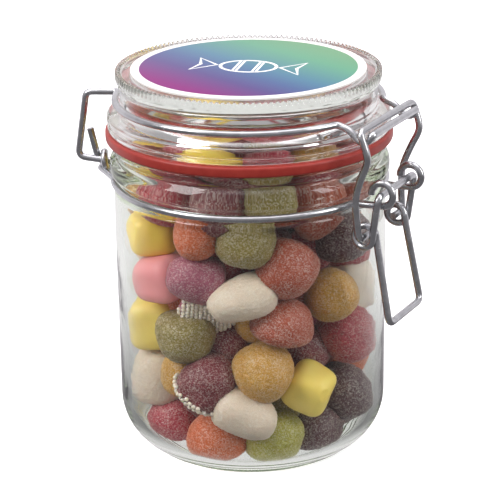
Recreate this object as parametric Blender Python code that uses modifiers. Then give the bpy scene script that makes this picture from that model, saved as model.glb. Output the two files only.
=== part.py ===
"""A clip-top glass jar full of sugared candy.

Sizes are in millimetres and become metres where a mesh or curve is made. The jar stands
on z = 0 with its axis on Z, the clasp towards +X and the hinge towards -X.
"""

import math
import random

import bmesh
import bpy
from mathutils import Matrix, Vector

MM = 0.001
GAP = 0.3

# Glass jar
BODY_RADIUS = 44.0
WALL = 2.6
FOOT_RADIUS = 27.0
FOOT_CORNER = BODY_RADIUS - FOOT_RADIUS
FLOOR_THICKNESS = 2.8
SHOULDER_Z = 76.0
SHOULDER_RADIUS = 43.6
NECK_GROOVE_Z = 91.5
NECK_GROOVE_RADIUS = 42.3
NECK_BULGE_RADIUS = 45.0
MOUTH_GROOVE_RADIUS = 42.8
MOUTH_RADIUS = 39.5
RIM_RADIUS = 44.2
RIM_Z = 104.7
TURN_STEPS = 40

# Rubber gasket
GASKET_BOTTOM = RIM_Z + GAP
GASKET_TOP = 108.4
GASKET_RADIUS = 46.0
GASKET_BEVEL = 0.7

# Glass lid
LID_BOTTOM = GASKET_TOP + GAP
FLANGE_RADIUS = 45.4
FLANGE_TOP = 114.0
LID_WAIST_RADIUS = 41.0
LID_WIRE_Z = 117.7
LID_BAND_RADIUS = 42.3
LID_BAND_BOTTOM = 124.3
LID_RIM_Z = 127.5
LID_TOP_Z = 126.6
LID_TOP_RADIUS = 40.4
LID_HOLLOW_RADIUS = 38.0
LID_HOLLOW_Z = 123.6
LID_HOLLOW_CORNER = 2.5

# Printed disc stuck on the lid
LABEL_RADIUS = 37.4
LABEL_THICKNESS = 0.4

# Steel wires
WIRE_RADIUS = 1.15
LID_RING_RADIUS = 42.5
NECK_RING_RADIUS = 43.85
RING_STEP = 8.0
BEND_RADIUS = 2.6
SHARP_BEND = math.radians(38.0)

# Clasp: the eyes' axis, the lever's lower loops and the latch's bar, each as (x, z)
EYE_AXIS = (52.0, 95.6)
LOOP_AXIS = (46.8, 81.8)
LATCH_BAR = (48.4, 117.2)
TONGUE_BAR = (51.2, 115.8)
EYE_RADIUS = 3.65
EYE_Y = 10.4
LOOP_RADIUS = 3.3
LEVER_ARM_Y = 13.1
HANDLE_TOP_Y = 10.4
HANDLE_FOOT = (55.6, 54.0)
HANDLE_FOOT_Y = 11.6
LATCH_END_Y = 8.7
LATCH_FOOT_Y = 15.8
LATCH_TOP_Y = 19.0
TONGUE_Y = 16.0

# Hinge: each leg stands in an upright plane at this angle from -X
HINGE_ANGLE = 20.0
HINGE_TOP = (53.2, 117.4)
HINGE_FOOT = (56.9, 95.4)
HINGE_BAR_END = (45.7, 94.2)
COIL_CENTRE_Z = 94.5
COIL_RADIUS = 2.7
COIL_OUTER = 49.3
COIL_INNER = 46.7
COIL_LEAD = 12.0
STUB_FOOT = (50.9, 95.2)
STUB_TOP = (53.0, 104.9)
STUB_SIDE = 0.8

# Candy
HEAP_GAP = 0.4
CORE_RADIUS = 33.5
CORE_TOP = 111.0
HEAP_TOP = 119.5

# What shows through the glass, as (kind, angle round the jar, height, width)
SHOWN_CANDY = (
    ("gumdrop", -124.6, 76.0, 19), ("cube", -119.0, 63.5, 21), ("gumdrop", -94.0, 80.0, 20),
    ("gumdrop", -89.0, 68.1, 20), ("gumdrop", -64.4, 79.5, 24), ("gumdrop", -79.0, 88.5, 19),
    ("gumdrop", -40.5, 72.0, 25), ("cone", -63.3, 63.2, 23), ("gumdrop", -14.0, 60.0, 22),
    ("gumdrop", -14.2, 79.0, 21), ("cube", 12.0, 60.5, 19), ("cube", -133.0, 43.2, 20),
    ("gumdrop", -103.0, 53.5, 18), ("gumdrop", -89.5, 46.0, 22), ("gumdrop", -66.0, 51.0, 17),
    ("gumdrop", -42.8, 53.5, 23), ("gumdrop", -2.5, 43.6, 22), ("gumdrop", 17.0, 31.0, 20),
    ("gumdrop", 30.0, 18.0, 19), ("cube", -126.0, 27.0, 23), ("gumdrop", -107.0, 36.5, 18),
    ("gumdrop", -84.5, 30.5, 21), ("gumdrop", -56.0, 38.2, 23), ("gumdrop", -25.0, 43.0, 20),
    ("cube", -31.5, 29.0, 22), ("gumdrop", -6.0, 25.5, 21), ("gumdrop", -17.0, 11.5, 21),
    ("cone", -63.0, 24.0, 24), ("gumdrop", -47.5, 12.8, 24), ("gumdrop", -81.1, 13.2, 20),
    ("gumdrop", -113.7, 13.2, 22), ("gumdrop", 30.0, 46.5, 20), ("gumdrop", 32.0, 73.0, 21),
    ("gumdrop", 9.0, 88.5, 20), ("gumdrop", -40.0, 89.5, 20), ("gumdrop", -112.0, 92.0, 19),
)
BACK_FIRST_ANGLE = 52.0
BACK_LAST_ANGLE = 207.0
BACK_ROWS = (14.0, 32.0, 50.0, 68.0, 86.0)
BACK_SPACING = 31.0
TOP_RINGS = ((102.0, 28.5, 7), (112.0, 26.0, 6))
TOP_CENTRE_Z = 110.0
CANDY_KINDS = ("gumdrop", "gumdrop", "cube", "gumdrop", "cone")
CANDY_WIDTH = 20.5
CANDY_SIDES = 8
RANDOM_SEED = 11


def clear_scene():
    for obj in list(bpy.data.objects):
        bpy.data.objects.remove(obj)


def new_collection(name):
    collection = bpy.data.collections.new(name)
    bpy.context.scene.collection.children.link(collection)
    return collection


def new_material(name, colour, roughness, metallic=0.0, transmission=0.0):
    material = bpy.data.materials.new(name)
    material.use_nodes = True
    shader = material.node_tree.nodes["Principled BSDF"]
    shader.inputs["Base Color"].default_value = (*colour, 1.0)
    shader.inputs["Roughness"].default_value = roughness
    shader.inputs["Metallic"].default_value = metallic
    shader.inputs["Transmission Weight"].default_value = transmission
    return material


def arc(centre, radius, start, end, count):
    """Points round an arc in a plane, from one angle to another in degrees."""
    points = []
    for i in range(count + 1):
        angle = math.radians(start + (end - start) * i / count)
        points.append((centre[0] + radius * math.cos(angle), centre[1] + radius * math.sin(angle)))
    return points


def turned(name, profile, collection, material):
    """A solid of revolution about Z from (radius, height) points in millimetres."""
    mesh = bpy.data.meshes.new(name)
    edges = [(i, i + 1) for i in range(len(profile) - 1)]
    mesh.from_pydata([(r * MM, 0.0, z * MM) for r, z in profile], edges, [])
    obj = bpy.data.objects.new(name, mesh)
    collection.objects.link(obj)
    screw = obj.modifiers.new("Turn", "SCREW")
    screw.steps = screw.render_steps = TURN_STEPS
    screw.use_merge_vertices = True
    screw.merge_threshold = 0.00001
    screw.use_smooth_shade = True
    if material:
        mesh.materials.append(material)
    return obj


def polar(angle, radius, z):
    turn = math.radians(angle)
    return Vector((radius * math.cos(turn), radius * math.sin(turn), z))


def ring_points(start, end, radius, z):
    count = max(1, round(abs(end - start) / RING_STEP))
    return [polar(start + (end - start) * i / count, radius, z) for i in range(count + 1)]


def bent(points, closed=False):
    """Rounds each sharp corner of a wire's route to the bend radius."""
    count = len(points)
    route = []
    for i, corner in enumerate(points):
        if not closed and i in (0, count - 1):
            route.append(corner)
            continue
        back = points[i - 1] - corner
        ahead = points[(i + 1) % count] - corner
        turn = math.pi - back.angle(ahead)
        if turn < SHARP_BEND:
            route.append(corner)
            continue
        room = 0.46 * min(back.length, ahead.length)
        trim = min(BEND_RADIUS * math.tan(turn / 2), room)
        first = corner + back.normalized() * trim
        last = corner + ahead.normalized() * trim
        steps = 3 if turn > math.radians(60.0) else 2
        for k in range(steps + 1):
            t = k / steps
            route.append(first * (1 - t) ** 2 + corner * (2 * t * (1 - t)) + last * t ** 2)
    return route


def wire(name, route, collection, material, closed=False):
    curve = bpy.data.curves.new(name, "CURVE")
    curve.dimensions = "3D"
    curve.bevel_depth = WIRE_RADIUS * MM
    curve.bevel_resolution = 2
    curve.use_fill_caps = not closed
    spline = curve.splines.new("POLY")
    spline.points.add(len(route) - 1)
    for point, place in zip(spline.points, route):
        point.co = (*(place * MM), 1.0)
    spline.use_cyclic_u = closed
    curve.materials.append(material)
    obj = bpy.data.objects.new(name, curve)
    collection.objects.link(obj)
    return obj


def meshed(obj):
    """The curve's tube as a mesh with welded caps, in place of the curve."""
    graph = bpy.context.evaluated_depsgraph_get()
    mesh = bpy.data.meshes.new_from_object(obj.evaluated_get(graph))
    work = bmesh.new()
    work.from_mesh(mesh)
    bmesh.ops.remove_doubles(work, verts=work.verts, dist=0.00001)
    bmesh.ops.recalc_face_normals(work, faces=work.faces)
    work.to_mesh(mesh)
    work.free()
    solid = bpy.data.objects.new(obj.name, mesh)
    solid.matrix_world = obj.matrix_world.copy()
    for collection in obj.users_collection:
        collection.objects.link(solid)
    name = obj.name
    bpy.data.objects.remove(obj)
    solid.name = name
    return solid


def make_jar(collection, material):
    inner = BODY_RADIUS - WALL
    inner_corner = FOOT_CORNER - WALL
    profile = [(0.0, FLOOR_THICKNESS)]
    profile += arc((inner - inner_corner, FLOOR_THICKNESS + inner_corner), inner_corner, -90, 0, 4)
    profile += [(inner, SHOULDER_Z), (MOUTH_RADIUS + 0.6, 88.0), (MOUTH_RADIUS, 95.0)]
    profile += [(MOUTH_RADIUS, RIM_Z - 1.0), (MOUTH_RADIUS + 1.0, RIM_Z)]
    profile += [(RIM_RADIUS - 1.0, RIM_Z), (RIM_RADIUS, RIM_Z - 1.0)]
    profile += [(RIM_RADIUS - 0.3, 102.6), (MOUTH_GROOVE_RADIUS, 101.6), (MOUTH_GROOVE_RADIUS, 100.4)]
    profile += [(NECK_BULGE_RADIUS, 97.8), (NECK_BULGE_RADIUS, 95.2), (NECK_GROOVE_RADIUS, 93.2)]
    profile += [(NECK_GROOVE_RADIUS, 89.8), (SHOULDER_RADIUS, 88.2), (BODY_RADIUS, SHOULDER_Z)]
    profile += arc((FOOT_RADIUS, FOOT_CORNER), FOOT_CORNER, 0, -90, 5)
    profile += [(0.0, 0.0)]
    return turned("glass_jar", profile, collection, material)


def make_gasket(collection, material):
    top, bottom, bevel = GASKET_TOP, GASKET_BOTTOM, GASKET_BEVEL
    inside = MOUTH_RADIUS + 0.5
    profile = [(inside, bottom), (inside, top), (GASKET_RADIUS - bevel, top)]
    profile += [(GASKET_RADIUS, top - bevel), (GASKET_RADIUS, bottom + bevel)]
    profile += [(GASKET_RADIUS - bevel, bottom), (inside, bottom)]
    return turned("rubber_gasket", profile, collection, material)


def make_lid(collection, material):
    hollow = LID_HOLLOW_RADIUS - LID_HOLLOW_CORNER
    profile = [(0.0, LID_TOP_Z), (LID_TOP_RADIUS, LID_TOP_Z), (LID_TOP_RADIUS + 0.4, LID_RIM_Z)]
    profile += [(LID_BAND_RADIUS - 0.7, LID_RIM_Z), (LID_BAND_RADIUS, LID_RIM_Z - 1.0)]
    profile += [(LID_BAND_RADIUS, LID_BAND_BOTTOM), (LID_WAIST_RADIUS, 121.6)]
    profile += [(LID_WAIST_RADIUS, 116.0), (LID_WAIST_RADIUS + 1.4, FLANGE_TOP + 0.6)]
    profile += arc((FLANGE_RADIUS - 2.6, FLANGE_TOP - 2.6), 2.6, 75, 0, 3)
    profile += [(FLANGE_RADIUS, LID_BOTTOM + 0.6), (FLANGE_RADIUS - 0.6, LID_BOTTOM)]
    profile += [(LID_HOLLOW_RADIUS, LID_BOTTOM)]
    profile += arc((hollow, LID_HOLLOW_Z - LID_HOLLOW_CORNER), LID_HOLLOW_CORNER, 0, 90, 3)
    profile += [(0.0, LID_HOLLOW_Z)]
    return turned("glass_lid", profile, collection, material)


def make_label(collection, material):
    bottom = LID_TOP_Z + GAP
    top = bottom + LABEL_THICKNESS
    profile = [(0.0, top), (LABEL_RADIUS, top), (LABEL_RADIUS, bottom), (0.0, bottom)]
    return turned("lid_label", profile, collection, material)


def mirrored(route):
    """The same route on the other side of the jar's middle plane, in reverse order."""
    return [Vector((p.x, -p.y, p.z)) for p in reversed(route)]


def make_lid_wire(collection, material):
    leg = 180.0 + HINGE_ANGLE
    tongue = math.degrees(math.asin(TONGUE_Y / LID_RING_RADIUS))
    near = [polar(leg, *HINGE_BAR_END), polar(leg, *HINGE_FOOT), polar(leg, *HINGE_TOP)]
    near += ring_points(leg, 360.0 - tongue, LID_RING_RADIUS, LID_WIRE_Z)
    near += [Vector((x, -TONGUE_Y, z)) for x, z in ((43.6, 116.4), (46.4, 113.4), (49.4, 113.2))]
    near += [Vector((TONGUE_BAR[0], -TONGUE_Y, TONGUE_BAR[1]))]
    lid_wire = meshed(wire("lid_wire", bent(near + mirrored(near)), collection, material))
    for side in (-1, 1):
        along = polar(-90.0 + side * HINGE_ANGLE, STUB_SIDE, 0.0) * side
        ends = [polar(180.0 - side * HINGE_ANGLE, *end) + along for end in (STUB_FOOT, STUB_TOP)]
        stub = meshed(wire("hinge_stub", ends, collection, material))
        join = lid_wire.modifiers.new("Stub", "BOOLEAN")
        join.operation = "UNION"
        join.object = stub
        apply_modifiers(lid_wire)
        bpy.data.objects.remove(stub)
    return lid_wire


def apply_modifiers(obj):
    graph = bpy.context.evaluated_depsgraph_get()
    mesh = bpy.data.meshes.new_from_object(obj.evaluated_get(graph))
    obj.modifiers.clear()
    obj.data = mesh


def hinge_coil(angle):
    """One turn of the neck wire round the lid wire's lower bar, wound inwards."""
    way = polar(angle - 90.0, 1.0, 0.0)
    points = []
    for i in range(13):
        turn = math.radians(-90.0 + 30.0 * i)
        radius = COIL_OUTER + (COIL_INNER - COIL_OUTER) * i / 12
        place = polar(angle, radius, COIL_CENTRE_Z + COIL_RADIUS * math.sin(turn))
        points.append(place + way * (COIL_RADIUS * math.cos(turn)))
    return points


def make_neck_wire(collection, material):
    leave = math.degrees(math.asin(EYE_Y / NECK_RING_RADIUS))
    eye = arc(EYE_AXIS, EYE_RADIUS, 185, -90, 9)
    near = [Vector((x, -EYE_Y, z)) for x, z in eye]
    hinge = 180.0 + HINGE_ANGLE
    near += ring_points(360.0 - leave, hinge + COIL_LEAD, NECK_RING_RADIUS, NECK_GROOVE_Z)
    near += hinge_coil(hinge)
    near += ring_points(hinge - COIL_LEAD, 184.0, NECK_RING_RADIUS, NECK_GROOVE_Z)
    return wire("neck_wire", bent(near + mirrored(near)), collection, material)


def make_lever(collection, material):
    half = [Vector((EYE_AXIS[0], -LEVER_ARM_Y, EYE_AXIS[1]))]
    for i in range(13):
        turn = math.radians(-30.0 * i)
        y = -LEVER_ARM_Y + (LEVER_ARM_Y - HANDLE_TOP_Y) * i / 12
        x = LOOP_AXIS[0] + LOOP_RADIUS * math.cos(turn)
        half.append(Vector((x, y, LOOP_AXIS[1] + LOOP_RADIUS * math.sin(turn))))
    half += [Vector((HANDLE_FOOT[0], -HANDLE_FOOT_Y, HANDLE_FOOT[1]))]
    return wire("clasp_lever", bent(half + mirrored(half), True), collection, material, True)


def make_latch(collection, material):
    x, z = LOOP_AXIS
    half = [Vector((x, -LATCH_END_Y, z)), Vector((x, -LATCH_FOOT_Y, z))]
    half += [Vector(p) for p in ((46.1, -16.3, 90.0), (46.0, -16.8, 96.0), (48.6, -17.8, 103.0))]
    half += [Vector(p) for p in ((50.9, -18.6, 107.6), (50.9, -18.9, 110.4))]
    half += [Vector((LATCH_BAR[0], -LATCH_TOP_Y, LATCH_BAR[1]))]
    return wire("clasp_latch", bent(half + mirrored(half)), collection, material)


def gumdrop_mesh(work, width, height, top):
    """A moulded drop: a round foot, sides that lean in, and a rounded top."""
    rings = ((0.45, -0.5), (0.5, -0.32), (0.5 * top, 0.3), (0.26 * top, 0.5))
    loops = []
    for size, level in rings:
        made = bmesh.ops.create_circle(work, segments=CANDY_SIDES, radius=size * width)["verts"]
        bmesh.ops.translate(work, verts=made, vec=(0, 0, level * height))
        loops.append(made)
    for low, high in zip(loops, loops[1:]):
        for i in range(CANDY_SIDES):
            k = (i + 1) % CANDY_SIDES
            work.faces.new((low[i], low[k], high[k], high[i]))
    work.faces.new(list(reversed(loops[0])))
    work.faces.new(loops[-1])


def cube_mesh(work, width):
    made = bmesh.ops.create_cube(work, size=width)["verts"]
    edges = {edge for vert in made for edge in vert.link_edges}
    bmesh.ops.bevel(work, geom=list(edges), offset=0.2 * width, segments=1, affect="EDGES")


def candy(name, kind, width, place, rotation, collection):
    work = bmesh.new()
    if kind == "cube":
        cube_mesh(work, 0.9 * width)
    elif kind == "cone":
        gumdrop_mesh(work, 0.86 * width, 1.1 * width, 0.62)
    else:
        gumdrop_mesh(work, width, 0.9 * width, 0.84)
    bmesh.ops.scale(work, verts=work.verts, vec=(MM, MM, MM))
    bmesh.ops.rotate(work, verts=work.verts, matrix=rotation)
    bmesh.ops.translate(work, verts=work.verts, vec=place * MM)
    bmesh.ops.recalc_face_normals(work, faces=work.faces)
    mesh = bpy.data.meshes.new(name)
    work.to_mesh(mesh)
    work.free()
    obj = bpy.data.objects.new(name, mesh)
    collection.objects.link(obj)
    return obj


def candy_places(rng):
    """(kind, width, place) of every candy that shows round the side or on top."""
    reach = BODY_RADIUS - WALL - 0.2
    places = []
    for kind, angle, z, width in SHOWN_CANDY:
        places.append((kind, width, polar(angle, reach - width / 2, z)))
    span = BACK_LAST_ANGLE - BACK_FIRST_ANGLE
    for row, z in enumerate(BACK_ROWS):
        count = round(span / BACK_SPACING)
        for i in range(count):
            angle = BACK_FIRST_ANGLE + span * (i + 0.5 * (row % 2)) / count + rng.uniform(-3, 3)
            kind = CANDY_KINDS[(2 * i + 3 * row) % len(CANDY_KINDS)]
            width = CANDY_WIDTH + rng.uniform(-1, 1)
            places.append((kind, width, polar(angle, reach - width / 2, z + rng.uniform(-2, 2))))
    for level, radius, count in TOP_RINGS:
        for i in range(count):
            angle = 360.0 * i / count + rng.uniform(-5, 5)
            kind = CANDY_KINDS[i % len(CANDY_KINDS)]
            place = polar(angle, radius, level + rng.uniform(-1.0, 1.0))
            places.append((kind, CANDY_WIDTH, place))
    places.append(("gumdrop", CANDY_WIDTH, Vector((3.0, 1.0, TOP_CENTRE_Z))))
    return places


def heap_envelope(collection):
    """The inside of the jar, a little smaller, that no candy reaches past."""
    inner = BODY_RADIUS - WALL - HEAP_GAP
    corner = FOOT_CORNER - WALL
    floor = FLOOR_THICKNESS + HEAP_GAP
    mouth = MOUTH_RADIUS - HEAP_GAP
    lid = LID_HOLLOW_RADIUS - HEAP_GAP
    profile = [(0.0, HEAP_TOP), (lid - 3.0, HEAP_TOP), (lid, HEAP_TOP - 3.0), (lid, 105.5)]
    profile += [(mouth, 103.0), (mouth, 95.0), (mouth + 0.6, 88.0)]
    profile += [(inner, SHOULDER_Z - 1.0)]
    profile += arc((inner - corner, floor + corner), corner, 0, -90, 4)
    profile += [(0.0, floor)]
    envelope = turned("heap_envelope", profile, collection, None)
    envelope.hide_render = True
    envelope.display_type = "WIRE"
    return envelope


def make_heap(collection, cutters, material):
    rng = random.Random(RANDOM_SEED)
    bpy.ops.mesh.primitive_cone_add(
        vertices=16, radius1=(CORE_RADIUS - 5.0) * MM, radius2=CORE_RADIUS * MM,
        depth=(CORE_TOP - 6.0) * MM, location=(0, 0, (CORE_TOP + 6.0) / 2 * MM))
    heap = bpy.context.object
    heap.name = "candy_heap"
    for old in list(heap.users_collection):
        old.objects.unlink(heap)
    collection.objects.link(heap)
    pieces = new_collection("candy pieces")
    for i, (kind, width, place) in enumerate(candy_places(rng)):
        turns = [rng.uniform(0, 2 * math.pi), rng.uniform(-0.5, 0.5), rng.uniform(0, 2 * math.pi)]
        outward = Vector((place.x, place.y, 0.0))
        rotation = Matrix.Rotation(turns[0], 3, "Z")
        if outward.length > 5.0:
            lean = outward.to_track_quat("Z", "Y").to_matrix()
            tilt = Matrix.Rotation(turns[1], 3, "X")
            rotation = (lean @ tilt @ rotation) if i % 3 else (tilt @ rotation)
        candy(f"candy_{i:02d}", kind, width, place, rotation, pieces)
    join = heap.modifiers.new("Candies", "BOOLEAN")
    join.operation = "UNION"
    join.operand_type = "COLLECTION"
    join.collection = pieces
    join.solver = "MANIFOLD"
    trim = heap.modifiers.new("Inside the jar", "BOOLEAN")
    trim.operation = "INTERSECT"
    trim.object = heap_envelope(cutters)
    trim.solver = "MANIFOLD"
    apply_modifiers(heap)
    for piece in list(pieces.objects):
        bpy.data.objects.remove(piece)
    bpy.data.collections.remove(pieces)
    heap.data.materials.clear()
    heap.data.materials.append(material)
    return heap


def main():
    clear_scene()
    jar = new_collection("candy jar")
    cutters = new_collection("cutters")
    glass = (0.93, 0.96, 0.94)
    steel = (0.62, 0.62, 0.61)
    make_jar(jar, new_material("jar glass", glass, 0.02, transmission=1.0))
    make_lid(jar, new_material("lid glass", glass, 0.02, transmission=1.0))
    make_gasket(jar, new_material("red rubber", (0.52, 0.03, 0.03), 0.45))
    make_label(jar, new_material("printed film", (0.35, 0.12, 0.55), 0.3))
    make_lid_wire(jar, new_material("lid wire steel", steel, 0.3, metallic=1.0))
    make_neck_wire(jar, new_material("neck wire steel", steel, 0.3, metallic=1.0))
    make_lever(jar, new_material("lever wire steel", steel, 0.3, metallic=1.0))
    make_latch(jar, new_material("latch wire steel", steel, 0.3, metallic=1.0))
    make_heap(jar, cutters, new_material("sugared candy", (0.62, 0.2, 0.08), 0.7))


main()
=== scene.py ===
"""The looks of a clip-top glass jar full of mixed candy.

Sizes are in millimetres and become metres where a mesh or curve is made. The jar stands on
z = 0 with its axis on Z, the clasp towards +X and the hinge towards -X.
"""

import math
import random

import bpy
import numpy as np
from mathutils import Matrix, Vector


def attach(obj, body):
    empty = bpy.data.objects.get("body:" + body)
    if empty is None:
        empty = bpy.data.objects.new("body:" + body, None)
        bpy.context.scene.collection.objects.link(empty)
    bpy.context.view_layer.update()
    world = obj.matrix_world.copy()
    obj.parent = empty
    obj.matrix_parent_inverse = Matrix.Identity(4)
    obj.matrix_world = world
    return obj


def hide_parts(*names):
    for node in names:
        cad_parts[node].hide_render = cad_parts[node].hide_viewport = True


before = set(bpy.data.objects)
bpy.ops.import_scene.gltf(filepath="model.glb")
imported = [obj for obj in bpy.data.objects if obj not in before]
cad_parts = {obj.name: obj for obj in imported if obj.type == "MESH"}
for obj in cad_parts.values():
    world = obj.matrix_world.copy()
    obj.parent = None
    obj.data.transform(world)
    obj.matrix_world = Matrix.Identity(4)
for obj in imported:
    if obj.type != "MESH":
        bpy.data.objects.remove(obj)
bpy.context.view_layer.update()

MM = 0.001

# Glass jar, at the solid's sizes
BODY_RADIUS = 44.0
WALL = 2.6
FOOT_RADIUS = 27.0
FOOT_CORNER = BODY_RADIUS - FOOT_RADIUS
FLOOR_THICKNESS = 2.8
# Fine rings that the mould leaves in the round heel: degrees down it, depth and half width
HEEL_RINGS = (-50.0, -58.0, -66.0)
HEEL_RING_DEPTH = 0.45
HEEL_RING_DEGREES = 1.8
HEEL_STEPS = 60
SHOULDER_Z = 76.0
SHOULDER_BEND = 8.0
NECK_INNER_Z = 88.0
NECK_GROOVE_Z = 91.5
NECK_GROOVE_RADIUS = 42.3
MOUTH_RADIUS = 39.5
RIM_RADIUS = 44.2
RIM_Z = 104.7
JAR_STEPS = 192
RING_STEPS = 160

# Rubber gasket
GASKET_BOTTOM = 105.0
GASKET_TOP = 108.4
GASKET_RADIUS = 46.0

# Glass lid, with small knurls round its upper edge
LID_BOTTOM = 108.7
FLANGE_RADIUS = 45.4
LID_WAIST_RADIUS = 41.0
LID_WIRE_Z = 117.7
LID_BAND_RADIUS = 42.3
LID_RIM_Z = 127.5
LID_TOP_Z = 126.6
LID_TOP_RADIUS = 40.4
LID_HOLLOW_RADIUS = 38.0
LID_HOLLOW_Z = 123.6
LID_HOLLOW_CORNER = 2.5
KNURLS = 144
KNURL_STEPS = 5
KNURL_RISE = 1.0
KNURL_INSET = 0.9
KNURL_REACH = 1.3

# Printed disc on the lid
LABEL_RADIUS = 37.4
LABEL_BOTTOM = 126.65
LABEL_TOP = 127.3
PRINT_RADIUS = 34.6
PRINT_TURN = 70.0
PRINT_BLEND = ((0.05, "#821971"), (0.27, "#52437E"), (0.40, "#465D8B"), (0.52, "#477792"),
               (0.79, "#599C7B"), (0.95, "#659C71"))
INK_THICKNESS = 0.05
MOTIF_STROKE = 0.6
MOTIF_TURN = 15.5
MOTIF_WIDTH = 9.0
MOTIF_HEIGHT = 7.0
MOTIF_BANDS = (-3.2, 3.2)
BAND_HALF = 0.6

# Steel wires
WIRE_RADIUS = 1.15
LID_RING_RADIUS = 42.5
NECK_RING_RADIUS = 43.85
BEND_RADIUS = 2.6
SHARP_BEND = math.radians(38.0)

# Clasp: the eyes' axis, the lever's lower loops and the latch's bar, each as (x, z)
EYE_AXIS = (52.0, 95.6)
LOOP_AXIS = (46.8, 81.8)
LATCH_BAR = (48.4, 117.2)
TONGUE_BAR = (51.2, 115.8)
EYE_RADIUS = 3.65
EYE_Y = 10.4
LOOP_RADIUS = 3.3
LEVER_ARM_Y = 13.1
HANDLE_TOP_Y = 10.4
HANDLE_FOOT = (55.6, 54.0)
HANDLE_FOOT_Y = 11.6
LATCH_END_Y = 8.7
LATCH_FOOT_Y = 15.8
LATCH_TOP_Y = 19.0
TONGUE_Y = 16.0

# Hinge: each leg stands in an upright plane at this angle from -X. Its foot is drawn in by
# 0.15 mm, so that the round wire stays inside the box of the faceted one
HINGE_ANGLE = 20.0
HINGE_TOP = (53.2, 117.4)
HINGE_FOOT = (56.75, 95.4)
HINGE_BAR_END = (45.7, 94.2)
COIL_CENTRE_Z = 94.5
COIL_RADIUS = 2.7
COIL_OUTER = 49.3
COIL_INNER = 46.7
COIL_LEAD = 12.0
STUB_FOOT = (50.9, 95.2)
STUB_TOP = (53.0, 104.9)
STUB_SIDE = 0.8

# Camera, as fitted to the photograph: distances in millimetres, angles in degrees
CAMERA_AZIMUTH = 29.5
CAMERA_DISTANCE = 561.0
CAMERA_HEIGHT = 275.43
CAMERA_PITCH = 20.535
CAMERA_ROLL = -0.79
CAMERA_LENS = 131.56
CAMERA_SENSOR = 36.0
CAMERA_SHIFT = -0.0019

# Glass: how many of its slow ripples fit in a metre, how high they are, and how strongly its
# depth tints it
RIPPLES = 60.0
RIPPLE_HEIGHT = {"jar": 0.5, "lid": 0.4}
GLASS_TINT = {"jar": 36.0, "lid": 4.0}

# How many marks of the other patterns fit in a metre. The sugar grains are about a third of a
# millimetre apart, so that they just show
RUBBER_MOTTLE = 350.0
ZINC_MOTTLE = 250.0
INK_MOTTLE = 900.0
SUGAR_GRAIN = 2900.0
SUGAR_PATCH = 150.0
FONDANT_CLOUD = 120.0

# Candy colours: one hex for each, the jelly or fondant under its sugar
COATS = {
    "coral": "#A84426",
    "gold": "#CA9434",
    "olive": "#8A7834",
    "green": "#A6A03C",
    "mauve": "#A6546C",
    "red": "#AC2C3E",
    "plum": "#4E262E",
    "orange": "#D0622F",
    "white": "#E4D0BC",
    "burgundy": "#741728",
    "lemon": "#F8DC68",
    "amber": "#FFDA48",
    "pink": "#F0989C",
    "cream": "#EBDDCE",
}
SMOOTH_COATS = ("lemon", "amber", "pink", "cream")
SUGAR = "#F1E9E0"
BLACK = (0.0, 0.0, 0.0, 1.0)

# What shows through the glass: shape, coat, angle round the jar, height, width across the
# axis, length along it, where its top points in the front view (degrees anticlockwise from
# up), how far the top nods to the viewer in degrees, and how far in from the glass it lies
SHOWN_CANDY = (
    ("block", "amber", -127.5, 78.5, 14, 13, 5, 10, 0),
    ("block", "pink", -118.5, 64.0, 15, 15, 14, 5, 0),
    ("drop", "orange", -88.0, 80.5, 13.5, 13, 175, 5, 0),
    ("drop", "mauve", -91.5, 68.0, 15.5, 17.5, 75, 10, 0),
    ("drop", "olive", -64.7, 80.0, 18, 14.5, 172, 5, 0),
    ("drop", "coral", -43.5, 70.0, 18.5, 18, 150, 40, 0),
    ("cone", "white", -64.0, 62.4, 14, 21.5, 106, 8, 0),
    ("drop", "gold", -11.0, 58.3, 17.0, 16, -20, 60, 0),
    ("block", "cream", 25.7, 55.0, 15, 17, 5, 0, 0),
    ("block", "lemon", -133.0, 45.5, 16, 17, 5, 5, 0),
    ("beaded", "mauve", -91.0, 57.0, 17, 9, 0, -65, 8),
    ("drop", "olive", -95.5, 42.5, 18.5, 16.5, 180, 5, 0),
    ("drop", "coral", -43.5, 53.0, 19, 14, -10, 0, 0),
    ("drop", "red", 7.5, 41.6, 18.5, 17, 30, 30, 0),
    ("drop", "gold", -54.1, 36.0, 18.8, 16.5, -35, 40, 0),
    ("block", "lemon", -28.0, 29.0, 14.4, 14.4, -19, 25, 0),
    ("drop", "plum", 8.1, 20.3, 18.5, 17, 15, 20, 0),
    ("drop", "plum", -15.0, 9.8, 18.5, 16, 30, 15, 0),
    ("drop", "plum", 30.0, 10.0, 16, 15, -20, 10, 2),
    ("drop", "orange", 30.0, 30.0, 18, 16, 0, 20, 2),
    ("beaded", "burgundy", -84.0, 34.0, 17.5, 16.5, -34, 12, 0),
    ("cone", "white", -64.9, 23.1, 15, 20, -118, 5, 0),
    ("drop", "green", -48.7, 13.4, 18.5, 18, -20, 20, 0),
    ("drop", "orange", -84.0, 11.7, 19.5, 15, 0, 0, 0),
    ("drop", "red", -125.0, 11.5, 18, 15, 20, 10, 0),
    ("cone", "white", -134.4, 26.5, 18, 20, -5, 0, 0),
    ("drop", "gold", -110.0, 31.0, 15, 15, 0, 10, 5),
    ("drop", "red", 30.0, 68.0, 17, 16, 0, 20, 2),
    ("drop", "plum", 1.5, 76.8, 17, 16, 0, 20, 0),
    ("drop", "burgundy", -79.0, 88.5, 18, 15, 20, 20, 0),
    ("drop", "red", -112.0, 93.0, 18, 16, 0, 20, 0),
    ("drop", "olive", -52.0, 94.0, 18, 15, 90, 20, 0),
    ("drop", "coral", -22.0, 90.0, 18, 16, 40, 20, 0),
    ("drop", "coral", 12.0, 93.0, 18, 16, 0, 20, 0),
    ("drop", "gold", -140.0, 88.0, 17, 16, 0, 20, 0),
)
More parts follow.
